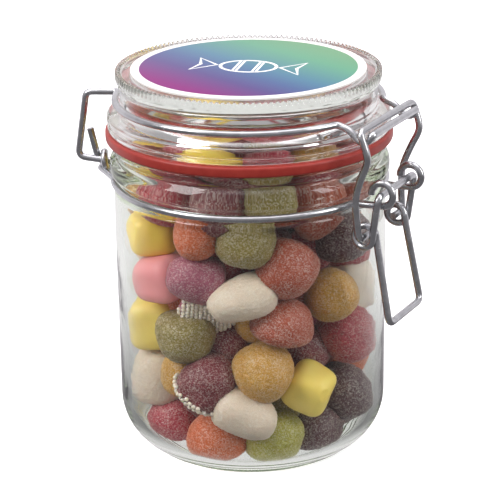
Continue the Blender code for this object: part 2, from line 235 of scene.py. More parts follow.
# Sweets in the gaps behind them: shape, coat, angle, height and radius
DEEP_CANDY = (
    ("drop", "gold", -150.0, 33.0, 24.0),
    ("drop", "burgundy", -112.0, 21.0, 20.0),
    ("drop", "olive", -35.0, 22.0, 19.0),
    ("drop", "burgundy", -72.0, 46.0, 19.0),
    ("drop", "gold", -52.0, 51.0, 20.0),
    ("drop", "red", -85.0, 68.0, 19.0),
    ("drop", "coral", -30.0, 58.0, 18.0),
    ("drop", "burgundy", -5.0, 38.0, 20.0),
    ("drop", "burgundy", -60.0, 72.0, 17.0),
    ("drop", "red", -10.0, 68.0, 19.0),
    ("drop", "orange", -125.0, 52.0, 19.0),
    ("drop", "burgundy", -62.0, 12.0, 16.0),
)
BACK_FIRST_ANGLE = 58.0
BACK_LAST_ANGLE = 202.0
BACK_ROWS = (13.0, 30.0, 46.5, 63.0, 79.5, 95.0)
BACK_COUNT = 5
# Rings of sweets up in the neck and the lid: height, radius, first angle and coats
TOP_RINGS = ((103.5, 28.5, 220.0, ("amber", "red", "burgundy", "red", "coral", "amber", "red",
                                   "burgundy", "coral")),
             (115.6, 29.5, 195.0, ("burgundy", "coral", "amber", "red", "gold", "red", "burgundy",
                                   "orange", "red", "amber")),
             (115.0, 9.5, 200.0, ("burgundy", "red", "coral")))
# Rings that fill the middle, where little shows
INNER_ROWS = (15.0, 32.0, 49.0, 66.0, 83.0, 99.0)
INNER_COUNT = 5
INNER_RADIUS = 14.0
CANDY_SHAPES = ("drop", "drop", "block", "drop", "cone")
BACK_COATS = ("coral", "gold", "lemon", "plum", "white", "green", "red", "amber", "olive",
              "orange", "cream", "burgundy", "mauve")
CANDY_WIDTH = 18.0
CANDY_LENGTH = 16.0
DEEP_WIDTH = 16.5
DEEP_LENGTH = 15
# Quads along a side of the cube that each sweet is swollen from
SHOWN_DETAIL = 34
BACK_DETAIL = 13
INNER_DETAIL = 10
BEAD_DETAIL = 4
BLOCK_POWER = 3.7
BLOCK_TAPER = 0.10
# Superellipse powers of the top and foot, and the taper, of the round sweets
ROUND_FORMS = {"drop": (2.4, 3.0, 0.12), "cone": (2.9, 3.3, 0.10), "beaded": (2.4, 4.5, 0.12)}
GRAIN_HEIGHT = 0.2
BEAD_RADIUS = 0.75
BEAD_GAP = 2.04
BEAD_ROW_GAP = 0.87
BEAD_COVER = 0.57
BEAD_POWER = 4.5
BEAD_JITTER = 0.1
# How freely a sweet moves while the heap settles
FIXED = 0.05
HALF_FREE = 0.5
FREE = 1.0
SETTLE_ROUNDS = 80
TOUCH_SHARE = 0.225
# How far settling keeps a sweet's centre from wall and floor, as shares of its size, and how
# far below its centre the round heel is measured
WALL_SHARE = 0.97
FLOOR_SHARE = 0.9
HEEL_SHARE = 0.55
CLEAR_OF_GLASS = 0.2
DRAW_SHARE = 0.9
DRAW_IN = 1.3
HEAP_TOP = 123.2
RANDOM_SEED = 11

# Studio: how bright glass and steel see each side of it, and the lift that keeps paper white
COVE_TINT = "#FBF7FB"
COVE_TONE = 0.95
FRONT_TONE = 0.2
ROOM_TONE = 0.45
CEILING_TONE = 1.8
FLOOR_LIFT = 0.6
FLOOR_HALF = 3.0
FLOOR_DROP = 0.0002
GLASS_BOUNCES = 24
LIGHT_TARGET_Z = 0.06
# Soft boxes: name, side and height in degrees from the camera, distance, size and power
LIGHTS = (
    ("overhead", 180, 78, 1.2, (1.6, 0.3), 1.2),
    ("key", -62, 38, 1.0, (0.4, 0.5), 4.5),
    ("fill", 66, 25, 1.0, (0.3, 0.6), 3.0),
)


# Colours and nodes

def linear(hex_code):
    """An sRGB hex colour as a linear RGBA tuple."""
    values = [int(hex_code[i:i + 2], 16) / 255 for i in (1, 3, 5)]
    return tuple(v / 12.92 if v <= 0.04045 else ((v + 0.055) / 1.055) ** 2.4 for v in values) + (1.0,)


def fill(node, values=None, links=None):
    """Sets a node's input values, and links its inputs to (node, output) pairs."""
    for socket, value in (values or {}).items():
        node.inputs[socket].default_value = value
    for socket, (source, output) in (links or {}).items():
        node.id_data.links.new(source.outputs[output], node.inputs[socket])


def add(tree, kind, values=None, links=None, **settings):
    """Adds a node with its settings, input values and links."""
    node = tree.nodes.new(kind)
    for name, value in settings.items():
        setattr(node, name, value)
    fill(node, values, links)
    return node


def new_material(name):
    """A material with its node tree, its Principled shader and its output."""
    material = bpy.data.materials.new(name)
    material.use_nodes = True
    tree = material.node_tree
    shader = tree.nodes["Principled BSDF"]
    return material, tree, shader


def set_ramp(node, stops):
    """Gives a colour ramp its (position, colour) stops."""
    ramp = node.color_ramp
    while len(ramp.elements) < len(stops):
        ramp.elements.new(1.0)
    for element, (position, colour) in zip(ramp.elements, stops):
        element.position = position
        element.color = colour


# Materials

def soda_lime_glass(part):
    """Pressed soda-lime glass: water clear, faintly olive where it is thick, not quite flat."""
    material, tree, shader = new_material(f"pressed {part} glass")
    place = add(tree, "ShaderNodeTexCoord")
    ripple = add(tree, "ShaderNodeTexNoise", {"Scale": RIPPLES, "Detail": 2.0},
                 {"Vector": (place, "Object")})
    bump = add(tree, "ShaderNodeBump", {"Strength": 0.3, "Distance": RIPPLE_HEIGHT[part] * MM},
               {"Height": (ripple, "Fac")})
    fill(shader, {"Base Color": linear("#FBFDFC"), "Roughness": 0.0, "IOR": 1.52,
                  "Transmission Weight": 1.0}, {"Normal": (bump, "Normal")})
    tint = add(tree, "ShaderNodeVolumeAbsorption",
               {"Color": linear("#DCE9CC"), "Density": GLASS_TINT[part]})
    fill(tree.nodes["Material Output"], links={"Volume": (tint, "Volume")})
    return material


def red_gasket_rubber():
    """Moulded natural rubber: an even brick red, satin, with a faint dusty mottle."""
    material, tree, shader = new_material("moulded red rubber")
    place = add(tree, "ShaderNodeTexCoord")
    mottle = add(tree, "ShaderNodeTexNoise", {"Scale": RUBBER_MOTTLE, "Detail": 4.0},
                 {"Vector": (place, "Object")})
    ramp = add(tree, "ShaderNodeValToRGB", links={"Fac": (mottle, "Fac")})
    set_ramp(ramp, ((0.3, linear("#A02A22")), (0.75, linear("#B03A2E"))))
    bump = add(tree, "ShaderNodeBump", {"Strength": 0.25, "Distance": 0.05 * MM},
               {"Height": (mottle, "Fac")})
    fill(shader, {"Roughness": 0.42, "IOR": 1.52},
         {"Base Color": (ramp, "Color"), "Normal": (bump, "Normal")})
    return material


def galvanised_wire():
    """Drawn steel wire with a bright zinc finish: soft reflections over a faint mottle."""
    material, tree, shader = new_material("zinc-plated drawn steel")
    place = add(tree, "ShaderNodeTexCoord")
    mottle = add(tree, "ShaderNodeTexNoise",
                 {"Scale": ZINC_MOTTLE, "Detail": 4.0, "Roughness": 0.6},
                 {"Vector": (place, "Object")})
    ramp = add(tree, "ShaderNodeValToRGB", links={"Fac": (mottle, "Fac")})
    set_ramp(ramp, ((0.3, linear("#B9BABD")), (0.7, linear("#D0D1D4"))))
    rough = add(tree, "ShaderNodeMapRange", {"To Min": 0.18, "To Max": 0.32},
                {"Value": (mottle, "Fac")})
    bump = add(tree, "ShaderNodeBump", {"Strength": 0.08, "Distance": 0.05 * MM},
               {"Height": (mottle, "Fac")})
    fill(shader, {"Metallic": 1.0}, {"Base Color": (ramp, "Color"),
                                     "Roughness": (rough, "Result"), "Normal": (bump, "Normal")})
    return material


def printed_film():
    """Printed vinyl film: a white edge round a smooth magenta to green blend, satin."""
    material, tree, shader = new_material("printed vinyl film")
    place = add(tree, "ShaderNodeTexCoord")
    turned_place = add(tree, "ShaderNodeMapping",
                       {"Rotation": (0.0, 0.0, -math.radians(PRINT_TURN))},
                       {"Vector": (place, "Object")})
    parts = add(tree, "ShaderNodeSeparateXYZ", links={"Vector": (turned_place, "Vector")})
    along = add(tree, "ShaderNodeMapRange",
                {"From Min": -PRINT_RADIUS * MM, "From Max": PRINT_RADIUS * MM},
                {"Value": (parts, "X")})
    blend = add(tree, "ShaderNodeValToRGB", links={"Fac": (along, "Result")})
    set_ramp(blend, [(position, linear(colour)) for position, colour in PRINT_BLEND])
    flat = add(tree, "ShaderNodeVectorMath", {1: (1.0, 1.0, 0.0)}, {0: (place, "Object")},
               operation="MULTIPLY")
    reach = add(tree, "ShaderNodeVectorMath", links={0: (flat, "Vector")}, operation="LENGTH")
    inside = add(tree, "ShaderNodeMath", {1: PRINT_RADIUS * MM}, {0: (reach, "Value")},
                 operation="LESS_THAN")
    height = add(tree, "ShaderNodeSeparateXYZ", links={"Vector": (place, "Object")})
    upper = add(tree, "ShaderNodeMath", {1: (LABEL_TOP - 0.05) * MM}, {0: (height, "Z")},
                operation="GREATER_THAN")
    printed = add(tree, "ShaderNodeMath", links={0: (inside, "Value"), 1: (upper, "Value")},
                  operation="MULTIPLY")
    film = add(tree, "ShaderNodeMix", {6: linear("#F7F5F0")},
               {0: (printed, "Value"), 7: (blend, "Color")}, data_type="RGBA")
    fill(shader, {"Roughness": 0.3, "Specular IOR Level": 0.12}, {"Base Color": (film, 2)})
    return material


def white_ink():
    """Opaque white printing ink: flat and matt beside the film."""
    material, tree, shader = new_material("white printing ink")
    place = add(tree, "ShaderNodeTexCoord")
    tone = add(tree, "ShaderNodeTexNoise", {"Scale": INK_MOTTLE},
               {"Vector": (place, "Object")})
    ramp = add(tree, "ShaderNodeValToRGB", links={"Fac": (tone, "Fac")})
    set_ramp(ramp, ((0.3, linear("#F4F4F2")), (0.7, linear("#FBFBFA"))))
    fill(shader, {"Roughness": 0.45}, {"Base Color": (ramp, "Color")})
    return material


def blend_of(first, second, share):
    """The first colour with a share of the second in it."""
    return tuple(a * (1 - share) + b * share for a, b in zip(first, second))


def sugared_jelly(coat):
    """Fruit jelly rolled in sugar: deep colour between pale, sharp grains, in thicker and
    thinner patches, with a pale sheen towards its edges where the grains overlap."""
    jelly = linear(COATS[coat])
    sugar = linear(SUGAR)
    material, tree, shader = new_material(f"sugared jelly, {coat}")
    place = add(tree, "ShaderNodeTexCoord")
    grains = add(tree, "ShaderNodeTexVoronoi", {"Scale": SUGAR_GRAIN},
                 {"Vector": (place, "Object")})
    patches = add(tree, "ShaderNodeTexNoise", {"Scale": SUGAR_PATCH, "Detail": 3.0},
                  {"Vector": (place, "Object")})
    split = add(tree, "ShaderNodeSeparateColor", links={"Color": (grains, "Color")})
    cover = add(tree, "ShaderNodeMath", {1: 0.5}, {0: (patches, "Fac"), 2: (split, "Red")},
                operation="MULTIPLY_ADD")
    level = add(tree, "ShaderNodeMapRange", {"From Min": 0.15, "From Max": 1.35},
                {"Value": (cover, "Value")})
    ramp = add(tree, "ShaderNodeValToRGB", links={"Fac": (level, "Result")})
    dark = 0.06 if coat == "white" else 0.3
    set_ramp(ramp, ((0.0, blend_of(jelly, BLACK, dark)), (0.4, jelly),
                    (0.7, blend_of(jelly, sugar, 0.16)), (1.0, blend_of(jelly, sugar, 0.45))))
    bump = add(tree, "ShaderNodeBump", {"Strength": 0.6, "Distance": 0.2 * MM},
               {"Height": (split, "Green")})
    fill(shader, {"Roughness": 0.45, "Sheen Weight": 0.35, "Sheen Roughness": 0.4, "Sheen Tint": sugar,
                  "Subsurface Weight": 0.2, "Subsurface Radius": (1.0, 0.5, 0.3),
                  "Subsurface Scale": 1.5 * MM},
         {"Base Color": (ramp, "Color"), "Normal": (bump, "Normal")})
    return material


def smooth_fondant(coat):
    """Moulded fondant: waxy and even, a little cloudy, with soft edges."""
    base = linear(COATS[coat])
    material, tree, shader = new_material(f"moulded fondant, {coat}")
    place = add(tree, "ShaderNodeTexCoord")
    cloud = add(tree, "ShaderNodeTexNoise", {"Scale": FONDANT_CLOUD, "Detail": 4.0},
                {"Vector": (place, "Object")})
    ramp = add(tree, "ShaderNodeValToRGB", links={"Fac": (cloud, "Fac")})
    set_ramp(ramp, ((0.3, blend_of(base, BLACK, 0.08)), (0.75, blend_of(base, linear(SUGAR), 0.1))))
    bump = add(tree, "ShaderNodeBump", {"Strength": 0.25, "Distance": 0.2 * MM},
               {"Height": (cloud, "Fac")})
    fill(shader, {"Roughness": 0.4, "Subsurface Weight": 0.3, "Subsurface Radius": (1.0, 0.7, 0.4),
                  "Subsurface Scale": 2.0 * MM},
         {"Base Color": (ramp, "Color"), "Normal": (bump, "Normal")})
    return material


# Shapes

def polar(angle, radius, z):
    """The point at an angle round the jar, in degrees from +X, a radius and a height."""
    turn = math.radians(angle)
    return Vector((radius * math.cos(turn), radius * math.sin(turn), z))


def arc(centre, radius, start, end, count):
    """Points along an arc from one angle to another, in degrees."""
    points = []
    for i in range(count + 1):
        angle = math.radians(start + (end - start) * i / count)
        points.append((centre[0] + radius * math.cos(angle), centre[1] + radius * math.sin(angle)))
    return points


def rounded(corners, pieces=5):
    """An outline of (radius, height, rounding) corners, each rounded by an arc-like curve."""
    outline = []
    last = len(corners) - 1
    for i, (r, z, rounding) in enumerate(corners):
        corner = Vector((r, z))
        if i in (0, last) or not rounding:
            outline.append((r, z))
            continue
        back = Vector(corners[i - 1][:2]) - corner
        ahead = Vector(corners[i + 1][:2]) - corner
        trim = min(rounding, 0.48 * back.length, 0.48 * ahead.length)
        first = corner + back.normalized() * trim
        end = corner + ahead.normalized() * trim
        for k in range(pieces + 1):
            t = k / pieces
            point = first * (1 - t) ** 2 + corner * (2 * t * (1 - t)) + end * t ** 2
            outline.append((point.x, point.y))
    return outline


def new_object(name, points, faces, material, smooth=True):
    """A mesh object of points in metres and faces, with its material."""
    mesh = bpy.data.meshes.new(name)
    mesh.from_pydata(points, [], faces)
    if smooth:
        mesh.shade_smooth()
    mesh.materials.append(material)
    obj = bpy.data.objects.new(name, mesh)
    bpy.context.scene.collection.objects.link(obj)
    return obj


def turned(name, outline, steps, material, shape=None):
    """A solid of revolution. The outline starts and ends on the axis, or is a closed loop."""
    closed = outline[0][0] > 0.001
    inner = outline if closed else outline[1:-1]
    count = len(inner)
    points = []
    for i in range(steps):
        turn = 2 * math.pi * i / steps
        for place in inner:
            r, z = shape(*place, i) if shape else place
            points.append((r * math.cos(turn) * MM, r * math.sin(turn) * MM, z * MM))
    faces = []
    for i in range(steps):
        here, there = i * count, ((i + 1) % steps) * count
        for k in range(count if closed else count - 1):
            n = (k + 1) % count
            faces.append((here + k, here + n, there + n, there + k))
    if not closed:
        for pole, row, flip in ((outline[0], 0, False), (outline[-1], count - 1, True)):
            points.append((0.0, 0.0, pole[1] * MM))
            centre = len(points) - 1
            for i in range(steps):
                pair = (i * count + row, ((i + 1) % steps) * count + row)
                faces.append((centre, pair[1], pair[0]) if flip else (centre, pair[0], pair[1]))
    return new_object(name, points, faces, material)


def heel():
    """The round heel of the jar down to its flat foot, with the mould's fine rings pressed in it."""
    points = []
    for i in range(HEEL_STEPS + 1):
        angle = -90.0 * i / HEEL_STEPS
        sunk = sum(math.exp(-((angle - ring) / HEEL_RING_DEGREES) ** 2) for ring in HEEL_RINGS)
        reach = FOOT_CORNER - HEEL_RING_DEPTH * sunk
        turn = math.radians(angle)
        points.append((FOOT_RADIUS + reach * math.cos(turn), FOOT_CORNER + reach * math.sin(turn)))
    return points


def make_jar(material):
    """The jar, inside and out: its corners are (radius, height, rounding)."""
    inner = BODY_RADIUS - WALL
    bend = SHOULDER_Z - SHOULDER_BEND
    corner = FOOT_CORNER - WALL
    outline = [(0.0, FLOOR_THICKNESS)]
    outline += arc((inner - corner, FLOOR_THICKNESS + corner), corner, -90, 0, 14)
    upper = [(inner, bend, 0), (inner, SHOULDER_Z, 6.0), (MOUTH_RADIUS + 0.6, NECK_INNER_Z, 5.0)]
    upper += [(MOUTH_RADIUS, 95.0, 3.0), (MOUTH_RADIUS, RIM_Z, 1.2), (RIM_RADIUS, RIM_Z, 1.2)]
    upper += [(RIM_RADIUS, 102.2, 1.2), (42.8, 101.0, 1.2), (45.0, 98.4, 2.2), (45.0, 94.2, 1.6)]
    upper += [(NECK_GROOVE_RADIUS, 93.2, 1.2), (NECK_GROOVE_RADIUS, 89.8, 1.0)]
    upper += [(43.8, 88.6, 2.0), (BODY_RADIUS, SHOULDER_Z, 6.0), (BODY_RADIUS, bend, 0)]
    outline += rounded(upper)
    outline += heel()
    outline += [(0.0, 0.0)]
    return turned("glass_body", outline, JAR_STEPS, material)


def knurl(r, z, step):
    """Draws the lid's upper edge in between the small knurls that are pressed round it."""
    centre = Vector((LID_BAND_RADIUS - KNURL_INSET, LID_RIM_Z - KNURL_INSET))
    away = Vector((r, z)) - centre
    if away.length > KNURL_REACH or r < LID_TOP_RADIUS + 0.1:
        return r, z
    phase = (step % KNURL_STEPS) / KNURL_STEPS
    sunk = KNURL_RISE * (1 + math.cos(2 * math.pi * phase)) / 2
    return r - away.x * sunk, z - away.y * sunk


def make_lid(material):
    """The lid, from the top's centre out and down, then up into its hollow."""
    hollow = LID_HOLLOW_RADIUS - LID_HOLLOW_CORNER
    corners = [(0.0, LID_TOP_Z, 0), (LID_TOP_RADIUS, LID_TOP_Z, 0.4)]
    corners += [(LID_TOP_RADIUS + 0.4, LID_RIM_Z, 0.4), (LID_BAND_RADIUS, LID_RIM_Z, 1.4)]
    corners += [(LID_BAND_RADIUS, 124.3, 1.2), (LID_WAIST_RADIUS, 121.8, 1.6)]
    corners += [(LID_WAIST_RADIUS, 115.0, 1.2), (43.2, 113.9, 0.8), (FLANGE_RADIUS, 113.4, 1.0)]
    corners += [(FLANGE_RADIUS, 111.2, 0.8), (44.5, 110.8, 0.4), (44.5, 110.4, 0.4)]
    corners += [(45.2, 110.0, 0.5), (45.2, LID_BOTTOM, 0.6), (LID_HOLLOW_RADIUS, LID_BOTTOM, 0.6)]
    corners += [(LID_HOLLOW_RADIUS, LID_HOLLOW_Z - LID_HOLLOW_CORNER, 0)]
    outline = rounded(corners)
    outline += arc((hollow, LID_HOLLOW_Z - LID_HOLLOW_CORNER), LID_HOLLOW_CORNER, 0, 90, 10)
    outline += [(0.0, LID_HOLLOW_Z)]
    return turned("glass_cap", outline, KNURLS * KNURL_STEPS, material, knurl)


def make_gasket(material):
    """The flat ring of rubber between jar and lid, with its four edges rounded."""
    inside = MOUTH_RADIUS + 0.5
    corners = [(inside, GASKET_BOTTOM), (inside, GASKET_TOP), (GASKET_RADIUS, GASKET_TOP)]
    corners += [(GASKET_RADIUS, GASKET_BOTTOM)]
    looped = [corners[-1]] + corners + [corners[0]]
    outline = []
    for i in range(1, 5):
        part = rounded([(*looped[i - 1], 0), (*looped[i], 0.9), (*looped[i + 1], 0)], 4)
        outline += part[1:-1]
    return turned("gasket_ring", outline, RING_STEPS, material)


def make_label(material):
    """The printed disc, a little thicker than its ink and film, with a crisp rim."""
    outline = rounded([(0.0, LABEL_TOP, 0), (LABEL_RADIUS, LABEL_TOP, 0.15),
                       (LABEL_RADIUS, LABEL_BOTTOM, 0), (0.0, LABEL_BOTTOM, 0)], 3)
    label = turned("lid_disc", outline, RING_STEPS, material)
    label.data.set_sharp_from_angle(angle=math.radians(40))
    return label


def wrapped_sweet_outline():
    """The strokes of a plain wrapped sweet: an oval with two bands and two fans, as closed loops."""
    turns = [math.radians(10 * i) for i in range(36)]
    oval = [(MOTIF_WIDTH * math.cos(turn), MOTIF_HEIGHT * math.sin(turn)) for turn in turns]
    loops = [oval]
    for side in (-1, 1):
        loops.append([(side * 10.2, 0.0), (side * 17.5, 7.2), (side * 15.6, 0.0), (side * 17.5, -7.2)])
    for x in MOTIF_BANDS:
        left, right = x - BAND_HALF, x + BAND_HALF
        half = MOTIF_HEIGHT * math.sqrt(1 - (x / MOTIF_WIDTH) ** 2)
        loops.append([(left, -half), (right, -half), (right, half), (left, half)])
    return loops


def make_motif(material):
    """A plain wrapped sweet in white strokes, raised by the thickness of the ink."""
    curve = bpy.data.curves.new("label_motif", "CURVE")
    curve.dimensions = "3D"
    curve.bevel_depth = MOTIF_STROKE * MM
    curve.bevel_resolution = 3
    turn = Matrix.Rotation(math.radians(MOTIF_TURN), 3, "Z")
    for loop in wrapped_sweet_outline():
        spline = curve.splines.new("POLY")
        spline.points.add(len(loop) - 1)
        for point, (x, y) in zip(spline.points, loop):
            place = turn @ Vector((x, y, 0.0))
            point.co = (place.x * MM, place.y * MM, 0.0, 1.0)
        spline.use_cyclic_u = True
    obj = bpy.data.objects.new("label_motif", curve)
    bpy.context.scene.collection.objects.link(obj)
    obj.scale = (1.0, 1.0, INK_THICKNESS / MOTIF_STROKE)
    obj.location = (0.0, 0.0, (LABEL_TOP + 0.01) * MM)
    curve.materials.append(material)
    return obj


# Wires

def ring_points(start, end, radius, z, step=4.0):
    """Points round a level ring from one angle to another, about step degrees apart."""
    count = max(1, round(abs(end - start) / step))
    return [polar(start + (end - start) * i / count, radius, z) for i in range(count + 1)]


def bent(points, closed=False):
    """Rounds each sharp corner of a wire's route to the bend radius."""
    count = len(points)
    route = []
    for i, corner in enumerate(points):
        if not closed and i in (0, count - 1):
            route.append(corner)
            continue
        back = points[i - 1] - corner
        ahead = points[(i + 1) % count] - corner
        turn = math.pi - back.angle(ahead)
        if turn < SHARP_BEND:
            route.append(corner)
            continue
        room = 0.46 * min(back.length, ahead.length)
        trim = min(BEND_RADIUS * math.tan(turn / 2), room)
        first = corner + back.normalized() * trim
        last = corner + ahead.normalized() * trim
        for k in range(9):
            t = k / 8
            route.append(first * (1 - t) ** 2 + corner * (2 * t * (1 - t)) + last * t ** 2)
    return route


def eased(route, closed=False, rounds=2):
    """Cuts the small kinks that are left between a route's points."""
    for _ in range(rounds):
        count = len(route)
        spans = range(count if closed else count - 1)
        cut = []
        for i in spans:
            a, b = route[i], route[(i + 1) % count]
            cut += [a * 0.75 + b * 0.25, a * 0.25 + b * 0.75]
        route = cut if closed else [route[0]] + cut + [route[-1]]
    return route


def wire(name, route, material, closed=False):
    """A round wire along a route, as a bevelled curve."""
    curve = bpy.data.curves.new(name, "CURVE")
    curve.dimensions = "3D"
    curve.bevel_depth = WIRE_RADIUS * MM
    curve.bevel_resolution = 6
    curve.use_fill_caps = not closed
    spline = curve.splines.new("POLY")
    route = eased(route, closed)
    spline.points.add(len(route) - 1)
    for point, place in zip(spline.points, route):
        point.co = (*(place * MM), 1.0)
    spline.use_cyclic_u = closed
    spline.use_smooth = True
    curve.materials.append(material)
    obj = bpy.data.objects.new(name, curve)
    bpy.context.scene.collection.objects.link(obj)
    return obj


def mirrored(route):
    """The same route on the other side of the jar's middle plane, in reverse order."""
    return [Vector((p.x, -p.y, p.z)) for p in reversed(route)]


def make_lid_wire(material):
    """The wire round the lid, its tongue and its hinge legs, and the two cut ends at the hinge."""
    leg = 180.0 + HINGE_ANGLE
    tongue = math.degrees(math.asin(TONGUE_Y / LID_RING_RADIUS))
    near = [polar(leg, *HINGE_BAR_END), polar(leg, *HINGE_FOOT), polar(leg, *HINGE_TOP)]
    near += ring_points(leg, 360.0 - tongue, LID_RING_RADIUS, LID_WIRE_Z)
    near += [Vector((x, -TONGUE_Y, z)) for x, z in ((43.6, 116.4), (46.4, 113.4), (49.4, 113.2))]
    near += [Vector((TONGUE_BAR[0], -TONGUE_Y, TONGUE_BAR[1]))]
    pieces = [wire("lid_bail", bent(near + mirrored(near)), material)]
    for side in (-1, 1):
        along = polar(-90.0 + side * HINGE_ANGLE, STUB_SIDE, 0.0) * side
        ends = [polar(180.0 - side * HINGE_ANGLE, *end) + along for end in (STUB_FOOT, STUB_TOP)]
        pieces.append(wire("bail_end_near" if side < 0 else "bail_end_far", ends, material))
    return pieces


def hinge_coil(angle):
    """One turn of the neck wire round the lid wire's lower bar, wound inwards."""
    way = polar(angle - 90.0, 1.0, 0.0)
    points = []
    for i in range(25):
        turn = math.radians(-90.0 + 15.0 * i)
        radius = COIL_OUTER + (COIL_INNER - COIL_OUTER) * i / 24
        place = polar(angle, radius, COIL_CENTRE_Z + COIL_RADIUS * math.sin(turn))
        points.append(place + way * (COIL_RADIUS * math.cos(turn)))
    return points


def make_neck_wire(material):
    """The wire in the neck's groove, with an eye each side of the clasp and a coil at each leg."""
    leave = math.degrees(math.asin(EYE_Y / NECK_RING_RADIUS))
    eye = arc(EYE_AXIS, EYE_RADIUS, 185, -90, 20)
    near = [Vector((x, -EYE_Y, z)) for x, z in eye]
    hinge = 180.0 + HINGE_ANGLE
    near += ring_points(360.0 - leave, hinge + COIL_LEAD, NECK_RING_RADIUS, NECK_GROOVE_Z)
    near += hinge_coil(hinge)
    near += ring_points(hinge - COIL_LEAD, 184.0, NECK_RING_RADIUS, NECK_GROOVE_Z)
    return wire("neck_bail", bent(near + mirrored(near)), material)


def make_lever(material):
    """The lever: its bar through the eyes, a loop each side for the latch, and the handle."""
    half = [Vector((EYE_AXIS[0], -LEVER_ARM_Y, EYE_AXIS[1]))]
    for i in range(25):
        turn = math.radians(-15.0 * i)
        y = -LEVER_ARM_Y + (LEVER_ARM_Y - HANDLE_TOP_Y) * i / 24
        x = LOOP_AXIS[0] + LOOP_RADIUS * math.cos(turn)
        half.append(Vector((x, y, LOOP_AXIS[1] + LOOP_RADIUS * math.sin(turn))))
    half += [Vector((HANDLE_FOOT[0], -HANDLE_FOOT_Y, HANDLE_FOOT[1]))]
    return wire("lever_bail", bent(half + mirrored(half), True), material, True)


def make_latch(material):
    """The latch: from the lever's loops up to the bar that hooks over the tongue."""
    x, z = LOOP_AXIS
    half = [Vector((x, -LATCH_END_Y, z)), Vector((x, -LATCH_FOOT_Y, z))]
    half += [Vector(p) for p in ((46.1, -16.3, 90.0), (46.0, -16.8, 96.0), (48.6, -17.8, 103.0))]
    half += [Vector(p) for p in ((50.9, -18.6, 107.6), (50.9, -18.9, 110.4))]
    half += [Vector((LATCH_BAR[0], -LATCH_TOP_Y, LATCH_BAR[1]))]
    return wire("latch_bail", bent(half + mirrored(half)), material)


# Candy

def cube_sphere(detail):
    """Directions spread evenly over a sphere, and the quads between them."""
    ticks = np.tan(np.linspace(-math.pi / 4, math.pi / 4, detail + 1))
    a, b = np.meshgrid(ticks, ticks, indexing="ij")
    one = np.ones_like(a)
    sides = []
    for axis in range(3):
        for sign in (-1.0, 1.0):
            stack = [None, None, None]
            stack[axis] = one * sign
            stack[(axis + 1) % 3] = a * sign
            stack[(axis + 2) % 3] = b
            sides.append(np.stack(stack, -1).reshape(-1, 3))
    points = np.concatenate(sides)
    points /= np.linalg.norm(points, axis=1)[:, None]
    unique, index = np.unique(np.round(points, 6), axis=0, return_inverse=True)
    index = index.reshape(6, detail + 1, detail + 1)
    quads = np.stack([index[:, :-1, :-1], index[:, 1:, :-1], index[:, 1:, 1:], index[:, :-1, 1:]], -1)
    return unique, quads.reshape(-1, 4)


SPHERES = {detail: cube_sphere(detail) for detail in (SHOWN_DETAIL, BACK_DETAIL, INNER_DETAIL)}


def candy_form(shape, ways, width, length, rng):
    """The points of a sweet, its foot down and its top up."""
    x, y, z = ways.T
    flat = np.hypot(x, y)
    if shape == "block":
        power, taper = BLOCK_POWER, BLOCK_TAPER
        size = (np.abs(x) ** power + np.abs(y) ** power + np.abs(z) ** power) ** (-1 / power)
    else:
        top, foot, taper = ROUND_FORMS[shape]
        power = np.where(z > 0, top, foot)
        size = (flat ** power + np.abs(z) ** power) ** (-1 / power)
    form = ways * size[:, None] * np.array([width, width, length]) / 2
    form[:, :2] *= 1 - taper * form[:, 2:] / (length / 2)
    # Three slow waves, so that no two sweets are the same
    phase = rng.uniform(0, 2 * math.pi, 6)
    swell = 0.03 * np.sin(3 * x + phase[0]) * np.cos(2.4 * y + phase[1])
    swell += 0.025 * np.sin(4 * z + phase[2]) * np.cos(3.1 * x + phase[3])
    swell += 0.015 * np.sin(6.5 * y + phase[4]) * np.cos(5.2 * z + phase[5])
    return form * (1 + swell)[:, None]


def facing(outward, roll, nod, spin):
    """Turns a sweet's top roll degrees anticlockwise from up, then nods it outwards."""
    right = Vector((0, 0, 1)).cross(outward)
    roll, nod = math.radians(roll), math.radians(nod)
    lean = Vector((0, 0, 1)) * math.cos(roll) - right * math.sin(roll)
    axis = lean * math.cos(nod) + outward * math.sin(nod)
    turn = axis.to_track_quat("Z", "Y").to_matrix()
    return turn @ Matrix.Rotation(math.radians(spin), 3, "Z")


